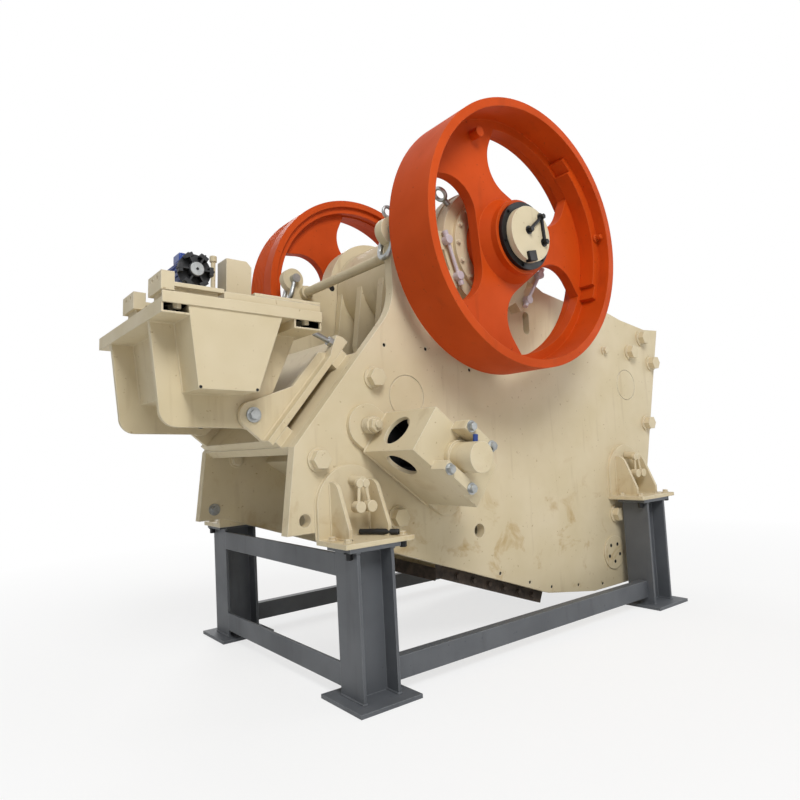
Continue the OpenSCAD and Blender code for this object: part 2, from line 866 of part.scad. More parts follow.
// Bracket on the rear slope: sole plate and two ears for the pivot pins
module motor_bracket() {
    sole_top = bracket_lift + bracket_t;
    color(cream) on_slope() {
        translate([bracket_low, -bracket_half_w, bracket_lift])
            cube([bracket_l, 2 * bracket_half_w, bracket_t]);
        both_sides() {
            slab(-ear_y - ear_t, -ear_y) difference() {
                union() {
                    polygon([
                        [bracket_low, sole_top], [bracket_high - 2 * ear_rib, sole_top],
                        [bracket_high - 3 * ear_rib, sole_top + ear_rib], [ear_bend, sole_top + ear_rib],
                        [pivot_along + pivot_boss_r * cos(40), pivot_off + pivot_boss_r * sin(40)],
                        [pivot_along - pivot_boss_r, pivot_off]
                    ]);
                    translate([pivot_along, pivot_off]) circle(pivot_boss_r);
                }
                translate([pivot_along, pivot_off]) circle(pivot_r);
            }
            slab(-rod_y - rod_lug_t / 2, rod_lug_t / 2 - rod_y) polygon([
                [rod_seat[0] - rod_lug_l, sole_top], [bracket_high, sole_top],
                rod_seat + rod_lug_half * [cos(rod_lean), sin(rod_lean)],
                rod_seat - rod_lug_half * [cos(rod_lean), sin(rod_lean)]
            ]);
        }
    }
}

module on_pivot() {
    on_stand() translate([pivot_x, 0, pivot_z]) children();
}

module pivot_pins() {
    color(steel) on_pivot() both_sides() bar_y(pivot_r - bearing_fit, -ear_y - ear_t, -gusset_y);
}

// Motor base, tilted about the pivot
module on_base() {
    on_pivot() rotate([0, base_tilt, 0]) children();
}

module hollow_beam(x) {
    translate([x, -base_w / 2, base_rise - beam_h]) difference() {
        cube([beam_w, base_w, beam_h]);
        translate([beam_wall, -cut, beam_wall])
            cube([beam_w - 2 * beam_wall, base_w + 2 * cut, beam_h - 2 * beam_wall]);
    }
}

module motor_base() {
    right = base_l - base_back;
    top = base_rise - beam_h;
    color(cream) on_base() {
        hollow_beam(-base_back);
        hollow_beam(right - beam_w);
        translate([beam_w - base_back, -base_w / 2, base_rise - deck_t])
            cube([base_l - 2 * beam_w, base_w, deck_t]);
        both_sides() slab(-gusset_y - gusset_t, -gusset_y) difference() {
            union() {
                polygon([
                    [gusset_set - base_back, top], [-gusset_back, gusset_round - gusset_low],
                    [gusset_round - gusset_back, -gusset_low], [0, -gusset_low], [pivot_boss_r, 0],
                    [right - 4 * gusset_set, top]
                ]);
                translate([gusset_round - gusset_back, gusset_round - gusset_low]) circle(gusset_round);
                circle(pivot_boss_r);
            }
            circle(pivot_r);
        }
        trapezoid_box();
    }
}

// Hollow cross box with closed ends
module trapezoid_box() {
    z1 = base_rise - deck_t;
    z0 = z1 - box_h;
    outline = [[-box_top[0], z1], [box_top[1], z1], [-box_low[1], z0], [-box_low[0], z0]];
    lean = [(box_top[0] - box_low[0]) / box_h, (box_top[1] + box_low[1]) / box_h];
    inside = [
        [box_wall - box_top[0] + lean[0] * box_wall, z1 - box_wall],
        [box_top[1] - box_wall - lean[1] * box_wall, z1 - box_wall],
        [-box_low[1] - box_wall + lean[1] * box_wall, z0 + box_wall],
        [-box_low[0] + box_wall - lean[0] * box_wall, z0 + box_wall]
    ];
    both_sides() {
        slab(-base_w / 2, box_wall - base_w / 2) polygon(outline);
        slab(box_wall - base_w / 2, -gusset_y - gusset_t) difference() {
            polygon(outline);
            polygon(inside);
        }
    }
    slab(-gusset_y, gusset_y) difference() {
        polygon(outline);
        polygon(inside);
    }
}

// Threaded rods that hold the motor base at its tilt
module tension_rods() {
    color(steel) on_slope() both_sides() translate([rod_seat[0], -rod_y, rod_seat[1]])
        rotate([0, -rod_lean, 0]) translate([0, 0, seat_gap]) {
            cylinder(r = rod_nut_r, h = rod_nut_h, $fn = 6);
            cylinder(r = rod_r, h = rod_nut_h + rod_l);
        }
}

// Bow shackle through a lifting ear, leaning on the rear edge of the plate
module shackle() {
    half = plate_t / 2 + shackle_side;
    reach = half + 2 * shackle_r + shackle_head;
    on_stand() translate([-ear_x, -plate_in - plate_t / 2, ear_z]) {
        bar_y(ear_hole_r - bearing_fit, -reach, reach);
        rotate([0, shackle_a, 0]) {
            for (y = [-1, 1]) translate([0, y * (half + shackle_r), -shackle_drop])
                cylinder(r = shackle_r, h = shackle_drop);
            translate([0, 0, -shackle_drop]) rotate([90, 0, 90]) rotate([0, 0, 180])
                rotate_extrude(angle = 180) translate([half + shackle_r, 0]) circle(shackle_r);
        }
    }
}

module shackle_near() { color(steel) shackle(); }
module shackle_far() { color(steel) mirror([0, 1, 0]) shackle(); }

module on_shaft() {
    on_stand() translate([0, 0, shaft_h]) children();
}

module eccentric_shaft() {
    color(steel) on_shaft() {
        bar_y(shaft_r, -hub_out - lock_t, hub_out + lock_t);
        bar_y(journal_r, -hub_in, hub_in);
        translate([ecc[0], 0, ecc[1] - shaft_h]) bar_y(eccentric_r, -pitman_y, pitman_y);
    }
}

// Rounded opening between two spokes, centred on the +x axis
module spoke_opening() {
    side = opening_half - opening_round;
    intersection() {
        circle(wheel_r - rim_t - opening_rim);
        union() {
            for (y = [-side, side]) translate([opening_in + opening_round, y]) circle(opening_round);
            translate([opening_in, -side]) square([wheel_r, 2 * side]);
            translate([opening_in + opening_round, -opening_half]) square([wheel_r, 2 * opening_half]);
        }
    }
}

// Place near the rim on spoke i, turned from the middle of the spoke
module on_spoke(i, turn = 0) {
    rotate([0, -(spoke_a + turn + 120 * i), 0]) translate([stud_ring, 0, 0]) children();
}

// Flywheel on the near side
module flywheel() {
    difference() {
        union() {
            ring_y(wheel_r, wheel_r - rim_t, -rim_out, -rim_in);
            ring_y(wheel_r - rim_t + cut, wheel_r - rim_t - rim_step, -web_out, -rim_in - rim_step_set);
            bar_y(wheel_r - rim_t + cut, -web_out, -web_in);
            bar_y(hub_r, -hub_out, -hub_in);
            translate([0, -web_out, 0]) rotate([90, 0, 0])
                cylinder(r1 = hub_flare_r, r2 = hub_r, h = hub_flare_h);
            on_spoke(0, stud_turn) bar_y(stud_r, -web_out - stud_l, -web_out);
        }
        bar_y(shaft_r, -rim_out, -plate_in);
        on_spoke(1) bar_y(spoke_hole_r, -rim_out, -rim_in);
        for (i = [0:2]) rotate([0, -(spoke_a + 60 + 120 * i), 0])
            slab(-web_out - cut, -rim_in + cut) spoke_opening();
    }
}

module flywheel_near() {
    color(orange) on_shaft() flywheel();
}

// Drive wheel with belt grooves in the outer part of its rim
module flywheel_far() {
    color(orange) on_shaft() difference() {
        mirror([0, 1, 0]) flywheel();
        for (i = [1:groove_n]) translate([0, rim_out - groove_pitch * i, 0]) rotate([90, 0, 0])
            rotate_extrude() polygon([
                [wheel_r + cut, -groove_half[0]], [wheel_r - groove_deep, -groove_half[1]],
                [wheel_r - groove_deep, groove_half[1]], [wheel_r + cut, groove_half[0]]
            ]);
    }
}

// Sector about the shaft between two angles
module sector(a0, a1) {
    polygon(concat([[0, 0]], arc([0, 0], wheel_r, a0, a1, 8)));
}

// Arc weights inside the rims, with thinner ends
module counterweights() {
    r = wheel_r - rim_t;
    color(orange) on_shaft() both_sides() slab(-web_out - weight_t, -web_out) {
        intersection() {
            difference() {
                circle(r);
                circle(r - weight_deep);
            }
            sector(weight_a[0], weight_a[1]);
        }
        intersection() {
            difference() {
                circle(r);
                circle(r - weight_end);
            }
            sector(weight_a[0] - weight_step, weight_a[1] + weight_step);
        }
    }
}

module lock_rings() {
    color(black) on_shaft() both_sides() ring_y(lock_r, shaft_r, -hub_out - lock_t, -hub_out);
}

module end_caps() {
    color(cream) on_shaft() both_sides() bar_y(cap_r, -hub_out - lock_t - cap_t, -hub_out - lock_t);
}

// Moving jaw: barrel round the eccentric, front wall behind the jaw plate and ribs at its back
module pitman() {
    front = [[swing_x(jaw_top), jaw_top], [swing_x(jaw_bottom), jaw_bottom]];
    wall = [
        front[0], front[0] - [pitman_wall, 0], front[1] - [pitman_wall, 0], front[1]
    ];
    ribs = [
        front[0], [-barrel_r, ecc[1]], [-pitman_back[0], pitman_back[1]], [-pitman_waist[0], pitman_waist[1]],
        pitman_seat[0], pitman_seat[1], front[1]
    ];
    color(cream) on_stand() difference() {
        union() {
            translate([ecc[0], 0, ecc[1]]) bar_y(barrel_r, -pitman_y, pitman_y);
            slab(-pitman_y, pitman_y) polygon(wall);
            for (i = [0:pitman_rib_n - 1]) {
                y = -pitman_y + (2 * pitman_y - pitman_rib_t) * i / (pitman_rib_n - 1);
                slab(y, y + pitman_rib_t) polygon(ribs);
            }
            slab(-toggle_half_w - pitman_seat_lap, toggle_half_w + pitman_seat_lap) polygon([
                pitman_seat[0], pitman_seat[1], [swing_x(jaw_bottom) - pitman_block[0], jaw_bottom],
                [swing_x(pitman_block[1]) - pitman_block[0], pitman_block[1]]
            ]);
        }
        translate([ecc[0], 0, ecc[1]]) bar_y(eccentric_r + bearing_fit, -pitman_y - cut, pitman_y + cut);
    }
}

// Slide rails of the motor: web under a wide flange, and a drilled block at the outer end
module slide_rails() {
    flange_z = motor_rail_h - rail_flange_t;
    color(cream) on_base() for (y = rail_y) translate([-base_back, y, base_rise]) {
        translate([rail_web_in, rail_web_in, 0])
            cube([motor_rail_l - 2 * rail_web_in, motor_rail_w - 2 * rail_web_in, flange_z]);
        translate([0, 0, flange_z]) cube([motor_rail_l, motor_rail_w, rail_flange_t]);
        difference() {
            translate([0, 0, rail_block_low]) cube([rail_block_l, motor_rail_w, rail_block_h - rail_block_low]);
            for (hole_y = [rail_hole_in, motor_rail_w - rail_hole_in])
                translate([-cut, hole_y, (motor_rail_h + rail_block_h) / 2]) rotate([0, 90, 0])
                    cylinder(r = rail_hole_r, h = rail_block_l + 2 * cut);
        }
    }
}

// Small electric motor of the hydraulic pump
module pump_motor() {
    color(blue) on_base() translate([pump[0], pump[1], base_rise + pump[2]]) {
        bar_y(pump_r, 0, pump_l);
        translate([-pump_foot[0] / 2, pump_foot[1], -pump[2]])
            cube([pump_foot[0], pump_foot[2], pump[2] - pump_foot[3]]);
        bar_y(pump_shaft_r, -fan_gap - fan_t - pump_shaft_end, 0);
    }
}

module pump_fan() {
    color(black) on_base() translate([pump[0], pump[1] - fan_gap, base_rise + pump[2]]) difference() {
        union() {
            bar_y(fan_hub_r, -fan_t - fan_hub_proud, 0);
            bar_y(fan_disc_r, -fan_blade_t, 0);
            for (i = [0:fan_blades - 1]) rotate([0, 360 / fan_blades * i, 0])
                translate([pump_shaft_r, -fan_t, -fan_blade_t / 2])
                    cube([fan_r - pump_shaft_r, fan_t - fan_blade_t / 2, fan_blade_t]);
        }
        bar_y(pump_shaft_r + bearing_fit, -fan_t - fan_hub_proud - cut, cut);
    }
}

module oil_tank() {
    color(cream) on_base() translate([tank[0], tank[1], base_rise]) slab(0, tank_size[1]) polygon([
        [0, 0], [tank_size[0], 0], [tank_size[0], tank_size[2] - tank_chamfer],
        [tank_size[0] - tank_chamfer, tank_size[2]], [0, tank_size[2]]
    ]);
}

side_plate_near();
side_plate_far();
front_frame();
rear_frame();
toggle_beam();
toggle_plate();
fixed_jaw_plate();
cheek_plates();
lower_beams();
tie_tube();
bearing_housings();
bearing_covers();
plate_bolts();
cover_discs();
wedge_bracket_near();
wedge_bracket_far();
wedge_cylinders();
wedge_spring_bolts();
foot_toggle_near();
foot_toggle_far();
foot_feed_near();
foot_feed_far();
leg_toggle_near();
leg_toggle_far();
leg_feed_near();
leg_feed_far();
end_rails();
side_rails();
motor_bracket();
pivot_pins();
tension_rods();
shackle_near();
shackle_far();
eccentric_shaft();
flywheel_near();
flywheel_far();
counterweights();
lock_rings();
end_caps();
pitman();
moving_jaw_plate();
motor_base();
slide_rails();
pump_motor();
pump_fan();
oil_tank();
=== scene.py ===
"""Looks of a jaw crusher on its steel stand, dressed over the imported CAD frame."""
import itertools
import json
import math

import bmesh
import bpy
from mathutils import Matrix, Vector


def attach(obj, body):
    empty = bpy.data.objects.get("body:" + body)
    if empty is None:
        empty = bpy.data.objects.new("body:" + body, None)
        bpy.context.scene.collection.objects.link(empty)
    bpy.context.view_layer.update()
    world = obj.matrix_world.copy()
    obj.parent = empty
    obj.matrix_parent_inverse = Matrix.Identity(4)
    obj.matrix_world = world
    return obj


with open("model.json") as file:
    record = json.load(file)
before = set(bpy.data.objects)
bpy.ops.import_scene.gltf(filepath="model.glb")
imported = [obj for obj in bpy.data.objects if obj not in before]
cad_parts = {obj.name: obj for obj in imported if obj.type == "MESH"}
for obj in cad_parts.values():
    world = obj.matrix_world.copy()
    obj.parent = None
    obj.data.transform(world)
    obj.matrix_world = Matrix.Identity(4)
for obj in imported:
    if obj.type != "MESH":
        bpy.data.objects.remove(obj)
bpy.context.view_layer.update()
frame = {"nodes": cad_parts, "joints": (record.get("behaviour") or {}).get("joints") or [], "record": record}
JOINTS = {j["name"]: Vector(j["pos_m"]) for j in frame["joints"]}
SHAFT = JOINTS["shaft_spin"]

# Sizes in millimetres: the shaft above the feet, faces out from the middle plane, feet along from the shaft
SHAFT_HEIGHT = 1684
PLATE_INSIDE, PLATE_OUTSIDE = 569, 633
COVER_FACE, LOCK_RING_FACE, CAP_FACE = 744, 1026, 1067
BASE_HALF, GUSSET_FACE = 595, 377
FOOT_X = (-1085, 1385)
FEET_Z = SHAFT.z - SHAFT_HEIGHT / 1000


def at(x, y, z):
    """A place given in millimetres from the shaft axis, the middle plane and the feet of the machine."""
    return Vector((SHAFT.x + x / 1000, y / 1000, FEET_Z + z / 1000))


# Materials

RUSTY_WATER = "#a8823c"


def linear(code):
    """An sRGB hex colour as linear RGBA."""
    parts = [int(code[i:i + 2], 16) / 255 for i in (1, 3, 5)]
    return [c / 12.92 if c <= 0.04045 else ((c + 0.055) / 1.055) ** 2.4 for c in parts] + [1.0]


def add(tree, kind, inputs=(), **settings):
    """Adds a node: settings are its properties, inputs give a value or another node's output to a socket."""
    node = tree.nodes.new(kind)
    for name, value in settings.items():
        setattr(node, name, value)
    for key, value in dict(inputs).items():
        if isinstance(value, bpy.types.NodeSocket):
            tree.links.new(value, node.inputs[key])
        else:
            node.inputs[key].default_value = value
    return node


def per_metre(millimetres):
    """Texture scale that gives a pattern features of about this size."""
    return 1000 / millimetres


def blank_material(name):
    """A material with a principled shader only, its tree, the shader and the Object coordinates."""
    material = bpy.data.materials.new(name)
    material.use_nodes = True
    tree = material.node_tree
    tree.nodes.clear()
    shader = add(tree, "ShaderNodeBsdfPrincipled")
    add(tree, "ShaderNodeOutputMaterial", {"Surface": shader.outputs[0]})
    return material, tree, shader, add(tree, "ShaderNodeTexCoord").outputs["Object"]


# edge: a pale colour painted along edges as a highlight, and partly as rubbed paint
def sprayed_paint(name, colour, faded, dirt, edge, rough, dirt_share=0.30, cast=0.0, sheen=0.5, stain=0.0):
    """Alkyd enamel sprayed on steel: colour that drifts, dusty specks, faint runs and a slight sheen."""
    material, tree, shader, place = blank_material(name)
    drift = add(tree, "ShaderNodeTexNoise", {"Vector": place, "Scale": per_metre(420), "Detail": 3.0,
                                             "Roughness": 0.6})
    faded_share = add(tree, "ShaderNodeMapRange", {0: drift.outputs[0], 1: 0.35, 2: 0.68})
    tone = add(tree, "ShaderNodeMix", {0: faded_share.outputs[0], 6: linear(colour), 7: linear(faded)},
               data_type="RGBA")
    runs = add(tree, "ShaderNodeMapping", {"Vector": place, "Scale": (1.0, 1.0, 0.12)})
    streak = add(tree, "ShaderNodeTexNoise", {"Vector": runs.outputs[0], "Scale": per_metre(70),
                                              "Detail": 4.0})
    run_share = add(tree, "ShaderNodeMapRange", {0: streak.outputs[0], 1: 0.60, 2: 0.80, 4: dirt_share})
    tone = add(tree, "ShaderNodeMix", {0: run_share.outputs[0], 6: tone.outputs[2], 7: linear(dirt)},
               data_type="RGBA")
    specks = add(tree, "ShaderNodeTexNoise", {"Vector": place, "Scale": per_metre(24), "Detail": 2.0})
    speck_share = add(tree, "ShaderNodeMapRange", {0: specks.outputs[0], 1: 0.71, 2: 0.76, 4: 0.55})
    tone = add(tree, "ShaderNodeMix", {0: speck_share.outputs[0], 6: tone.outputs[2], 7: linear(dirt)},
               data_type="RGBA")
    # rusty water leaves blots that grow towards the floor
    height = add(tree, "ShaderNodeSeparateXYZ", {0: place})
    low_down = add(tree, "ShaderNodeMapRange", {0: height.outputs["Z"], 1: 1.30, 2: 0.45, 4: stain})
    blots = add(tree, "ShaderNodeTexNoise", {"Vector": place, "Scale": per_metre(190), "Detail": 6.0,
                                             "Roughness": 0.62, "Distortion": 0.5})
    blot_share = add(tree, "ShaderNodeMapRange", {0: blots.outputs[0], 1: 0.55, 2: 0.72})
    wet = add(tree, "ShaderNodeMath", {0: low_down.outputs[0], 1: blot_share.outputs[0]},
              operation="MULTIPLY")
    tone = add(tree, "ShaderNodeMix", {0: wet.outputs[0], 6: tone.outputs[2], 7: linear(RUSTY_WATER)},
               data_type="RGBA")
    # painted highlight along edges, also standing for paint that is thin and rubbed pale there; edges are
    # found where a rounded normal leaves the flat one
    soft = add(tree, "ShaderNodeBevel", {"Radius": 0.006}, samples=4)
    flat = add(tree, "ShaderNodeNewGeometry").outputs["Normal"]
    even = add(tree, "ShaderNodeVectorMath", {0: soft.outputs[0], 1: flat}, operation="DOT_PRODUCT")
    turned = add(tree, "ShaderNodeMapRange", {0: even.outputs["Value"], 1: 0.985, 2: 0.86, 4: 1.3})
    edge_highlight_and_wear = add(tree, "ShaderNodeMath", {0: turned.outputs[0], 1: streak.outputs[0]}, operation="MULTIPLY")
    tone = add(tree, "ShaderNodeMix", {0: edge_highlight_and_wear.outputs[0], 6: tone.outputs[2], 7: linear(edge)},
               data_type="RGBA")
    tree.links.new(tone.outputs[2], shader.inputs["Base Color"])
    gloss = add(tree, "ShaderNodeMapRange", {0: drift.outputs[0], 1: 0.3, 2: 0.7,
                                             3: rough - 0.06, 4: rough + 0.08})
    tree.links.new(gloss.outputs[0], shader.inputs["Roughness"])
    # orange peel is 2 to 3 mm across, drawn at 9 mm so that it shows
    peel = add(tree, "ShaderNodeTexNoise", {"Vector": place, "Scale": per_metre(9), "Detail": 1.0})
    wave = add(tree, "ShaderNodeTexNoise", {"Vector": place, "Scale": per_metre(160), "Detail": 2.0})
    fine = add(tree, "ShaderNodeBump", {"Strength": 0.10 + cast, "Distance": 0.0015,
                                        "Height": peel.outputs[0], "Normal": soft.outputs[0]})
    broad = add(tree, "ShaderNodeBump", {"Strength": 0.25, "Distance": 0.006, "Height": wave.outputs[0],
                                         "Normal": fine.outputs[0]})
    tree.links.new(broad.outputs[0], shader.inputs["Normal"])
    shader.inputs["IOR"].default_value = 1.5
    shader.inputs["Specular IOR Level"].default_value = sheen
    return material


def uncoated_surface(name, colour, dark, rough, metallic, grain_mm, depth):
    """A surface without paint, rolled, cast, turned or moulded, with darker patches of oil and handling."""
    material, tree, shader, place = blank_material(name)
    patch = add(tree, "ShaderNodeTexNoise", {"Vector": place, "Scale": per_metre(60), "Detail": 5.0,
                                             "Roughness": 0.65})
    share = add(tree, "ShaderNodeMapRange", {0: patch.outputs[0], 1: 0.40, 2: 0.68})
    tone = add(tree, "ShaderNodeMix", {0: share.outputs[0], 6: linear(colour), 7: linear(dark)},
               data_type="RGBA")
    tree.links.new(tone.outputs[2], shader.inputs["Base Color"])
    gloss = add(tree, "ShaderNodeMapRange", {0: patch.outputs[0], 1: 0.3, 2: 0.7,
                                             3: rough - 0.08, 4: rough + 0.12})
    tree.links.new(gloss.outputs[0], shader.inputs["Roughness"])
    grain = add(tree, "ShaderNodeTexNoise", {"Vector": place, "Scale": per_metre(grain_mm), "Detail": 3.0})
    bump = add(tree, "ShaderNodeBump", {"Strength": 0.35, "Distance": depth, "Height": grain.outputs[0]})
    tree.links.new(bump.outputs[0], shader.inputs["Normal"])
    shader.inputs["Metallic"].default_value = metallic
    return material


# the fourth colour of each paint is the painted edge highlight, partly rubbed paint
FINISH = {
    # cream enamel, the machine's main colour: warm, satin, dusty
    "cream_paint": sprayed_paint("cream_enamel_on_steel", "#d8caab", "#d0c19e", "#97794e", "#f2ead8", 0.50,
                                 sheen=0.25, stain=0.85),
    # orange enamel on cast iron wheels: a deep colour with little gloss over a cast skin
    "orange_paint": sprayed_paint("orange_enamel_on_cast_iron", "#c84a0c", "#ba430a", "#6e2a0c", "#d8662e",
                                  0.58, dirt_share=0.22, cast=0.04, sheen=0.18),
    # primer grey of the stand: chalky and scuffed
    "dark_grey_paint": sprayed_paint("grey_primer_on_rolled_steel", "#5f6266", "#53565a", "#343537",
                                     "#8f9295", 0.55, dirt_share=0.4),
    # machined shaft steel
    "bare_steel": uncoated_surface("turned_steel", "#9a9b9c", "#6c6a67", 0.34, 1.0, 6, 0.0006),
    # zinc on rods, shackles, eyes and some bolts
    "galvanised": uncoated_surface("zinc_plated_steel", "#b4b6b5", "#8e908f", 0.38, 1.0, 10, 0.0006),
    # manganese steel castings: brown oxide skin, rough
    "manganese_steel": uncoated_surface("cast_manganese_steel", "#4b3f35", "#2f2924", 0.70, 0.25, 14, 0.003),
    # oiled black oxide
    "black_steel": uncoated_surface("black_oxide_steel", "#1b1c1e", "#0f1011", 0.42, 0.4, 8, 0.0006),
    # gloss enamel of the pump motor
    "blue_paint": sprayed_paint("blue_enamel_on_aluminium", "#1d3f8f", "#193878", "#101c38", "#4a68b0", 0.35),
    # thin pale primer on the clamps of the bearing housings
    "pale_primer": sprayed_paint("pale_primer_on_forged_steel", "#cdc5cb", "#c0b8bd", "#8a8084", "#e0dadd",
                                 0.5),
    # moulded nylon of the fan, also near enough for the rubber strip
    "black_plastic": uncoated_surface("moulded_black_nylon", "#17181a", "#222326", 0.5, 0.0, 5, 0.0003),
}
for part in frame["record"]["subparts"]:
    mesh = frame["nodes"][part["node"]].data
    mesh.materials.clear()
    mesh.materials.append(FINISH[part["material_slot"]])


# Geometry Nodes trees


def new_tree(name, sizes):
    """A geometry tree with a geometry input, the named sizes and a material."""
    tree = bpy.data.node_groups.new(name, "GeometryNodeTree")
    tree.interface.new_socket("Geometry", in_out="INPUT", socket_type="NodeSocketGeometry")
    for size in sizes:
        tree.interface.new_socket(size, in_out="INPUT", socket_type="NodeSocketFloat")
    tree.interface.new_socket("Material", in_out="INPUT", socket_type="NodeSocketMaterial")
    tree.interface.new_socket("Geometry", in_out="OUTPUT", socket_type="NodeSocketGeometry")
    return tree, add(tree, "NodeGroupInput").outputs


def close_tree(tree, geometry, material):
    """Ends a tree with real geometry that has the material."""
    real = add(tree, "GeometryNodeRealizeInstances", {0: geometry})
    coated = add(tree, "GeometryNodeSetMaterial", {"Geometry": real.outputs[0], "Material": material})
    add(tree, "NodeGroupOutput", {0: coated.outputs[0]})
    return tree


def hex_bolt_tree():
    """Hexagon heads on washers at points; the points' "facing" says where each head looks."""
    tree, given = new_tree("hex_bolts", ["Head Radius", "Head Height", "Washer Radius", "Washer Thickness"])
    head = add(tree, "GeometryNodeMeshCylinder", {"Vertices": 6, "Radius": given["Head Radius"],
                                                  "Depth": given["Head Height"]})
    face = add(tree, "ShaderNodeMath", {0: given["Head Radius"], 1: 0.82}, operation="MULTIPLY")
    crown = add(tree, "GeometryNodeMeshCylinder", {"Vertices": 20, "Radius": face.outputs[0], "Depth": 0.003})
    washer = add(tree, "GeometryNodeMeshCylinder", {"Vertices": 24, "Radius": given["Washer Radius"],
                                                    "Depth": given["Washer Thickness"]})
    washer_up = add(tree, "ShaderNodeMath", {0: given["Washer Thickness"], 1: 0.5}, operation="MULTIPLY")
    head_up = add(tree, "ShaderNodeMath", {0: given["Head Height"], 1: 0.5, 2: given["Washer Thickness"]},
                  operation="MULTIPLY_ADD")
    crown_up = add(tree, "ShaderNodeMath", {0: given["Washer Thickness"], 1: given["Head Height"]},
                   operation="ADD")
    stack = add(tree, "GeometryNodeJoinGeometry")
    for solid, up in ((head, head_up), (crown, crown_up), (washer, washer_up)):
        lift = add(tree, "ShaderNodeCombineXYZ", {2: up.outputs[0]})
        raised = add(tree, "GeometryNodeTransform", {"Geometry": solid.outputs["Mesh"],
                                                     "Translation": lift.outputs[0]})
        tree.links.new(raised.outputs[0], stack.inputs[0])
    facing = add(tree, "GeometryNodeInputNamedAttribute", {"Name": "facing"}, data_type="FLOAT_VECTOR")
    turned = add(tree, "FunctionNodeAlignRotationToVector", {"Vector": facing.outputs[0]}, axis="Z")
    twist = add(tree, "FunctionNodeRandomValue", {2: 0.0, 3: 1.05, "Seed": 7}, data_type="FLOAT")
    spin = add(tree, "FunctionNodeAxisAngleToRotation", {"Axis": (0, 0, 1), "Angle": twist.outputs[1]})
    both = add(tree, "FunctionNodeRotateRotation", {0: turned.outputs[0], 1: spin.outputs[0]},
               rotation_space="LOCAL")
    placed = add(tree, "GeometryNodeInstanceOnPoints", {"Points": given["Geometry"],
                                                        "Instance": stack.outputs[0],
                                                        "Rotation": both.outputs[0]})
    return close_tree(tree, placed.outputs[0], given["Material"])


def weld_bead_tree():
    """A rippled fillet bead along the edges of a path."""
    tree, given = new_tree("weld_beads", ["Bead Radius", "Ripple Pitch"])
    path = add(tree, "GeometryNodeMeshToCurve", {0: given["Geometry"]})
    even = add(tree, "GeometryNodeResampleCurve", {"Curve": path.outputs[0], "Length": given["Ripple Pitch"]},
               mode="LENGTH")
    count = add(tree, "GeometryNodeInputIndex")
    wave = add(tree, "ShaderNodeMath", {0: count.outputs[0], 1: 2.0}, operation="MODULO")
    swell = add(tree, "ShaderNodeMapRange", {0: wave.outputs[0], 1: 0.0, 2: 1.0, 3: 0.82, 4: 1.08})
    radius = add(tree, "GeometryNodeSetCurveRadius", {"Curve": even.outputs[0], "Radius": swell.outputs[0]})
    profile = add(tree, "GeometryNodeCurvePrimitiveCircle", {"Resolution": 6, "Radius": given["Bead Radius"]})
    bead = add(tree, "GeometryNodeCurveToMesh", {"Curve": radius.outputs[0],
                                                 "Profile Curve": profile.outputs[0], "Fill Caps": True})
    return close_tree(tree, bead.outputs[0], given["Material"])


def grown(name, tree, points, edges, sizes, finish, body, facing=None):
    """Runs a tree over points or paths and leaves a plain mesh that rides on a body."""
    seed = bpy.data.meshes.new(name)
    seed.from_pydata([tuple(p) for p in points], edges, [])
    if facing is not None:
        store = seed.attributes.new("facing", "FLOAT_VECTOR", "POINT")
        store.data.foreach_set("vector", [c for v in facing for c in v])
    holder = bpy.data.objects.new(name, seed)
    bpy.context.scene.collection.objects.link(holder)
    modifier = holder.modifiers.new("grown", "NODES")
    modifier.node_group = tree
    values = dict(sizes, Material=FINISH[finish])
    for item in tree.interface.items_tree:
        if item.in_out == "INPUT" and item.name in values:
            modifier[item.identifier] = values[item.name]
    graph = bpy.context.evaluated_depsgraph_get()
    plain = bpy.data.meshes.new_from_object(holder.evaluated_get(graph), depsgraph=graph)
    holder.modifiers.clear()
    holder.data = plain
    plain.name = name
    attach(holder, body)


BOLTS = hex_bolt_tree()
BEADS = weld_bead_tree()


def bolts(name, places, radius, height, finish, body, washer=1.35, washer_t=4):
    """Hexagon bolts at (place, facing) pairs; sizes in millimetres."""
    sizes = {"Head Radius": radius / 1000, "Head Height": height / 1000,
             "Washer Radius": radius * washer / 1000, "Washer Thickness": washer_t / 1000}
    grown(name, BOLTS, [p for p, f in places], [], sizes, finish, body, [f for p, f in places])


def welds(name, paths, radius, finish, body):
    """Fillet beads along paths of places; radius in millimetres."""
    points, edges = [], []
    for path in paths:
        edges += [(len(points) + i, len(points) + i + 1) for i in range(len(path) - 1)]
        points += path
    sizes = {"Bead Radius": radius / 1000, "Ripple Pitch": radius / 1000}
    grown(name, BEADS, points, edges, sizes, finish, body)


# Directions, and the frames of the sloped, tilted and turned pieces

NEAR, FAR = Vector((0, -1, 0)), Vector((0, 1, 0))
UP, DOWN, AHEAD = Vector((0, 0, 1)), Vector((0, 0, -1)), Vector((1, 0, 0))
BOTH = (-1, 1)
SIDES = ((-1, NEAR), (1, FAR))
SLOPE_FOOT, SLOPE = (-1392, 500), math.atan2(505, 437)
PIVOT, TILT = JOINTS["motor_base_tilt"], math.radians(2.5)
TOGGLE_END, TOGGLE = (-690, 385), math.radians(38)
WEDGE_ALONG = Vector((math.cos(TOGGLE), 0, -math.sin(TOGGLE)))
WEDGE_ACROSS = Vector((math.sin(TOGGLE), 0, math.cos(TOGGLE)))
PUMP_X, PUMP_Z = -300, 727


def about_shaft(radius, angle, y):
    """A place at a radius and an angle about the shaft."""
    return at(radius * math.cos(angle), y, SHAFT_HEIGHT + radius * math.sin(angle))


def ring(radius, y, count, start=0.0):
    """Places on a circle about the shaft."""
    return [about_shaft(radius, start + 2 * math.pi * i / count, y) for i in range(count)]


def on_lug(angle, radius, y):
    """A place on a housing lug: degrees about the shaft, distance from it and from the middle plane."""
    return about_shaft(radius, math.radians(angle), y)


def on_slope(along, y, off):
    """A place along the rear slope and square off it."""
    c, d = math.cos(SLOPE), math.sin(SLOPE)
    return at(SLOPE_FOOT[0] + along * c - off * d, y, SLOPE_FOOT[1] + along * d + off * c)


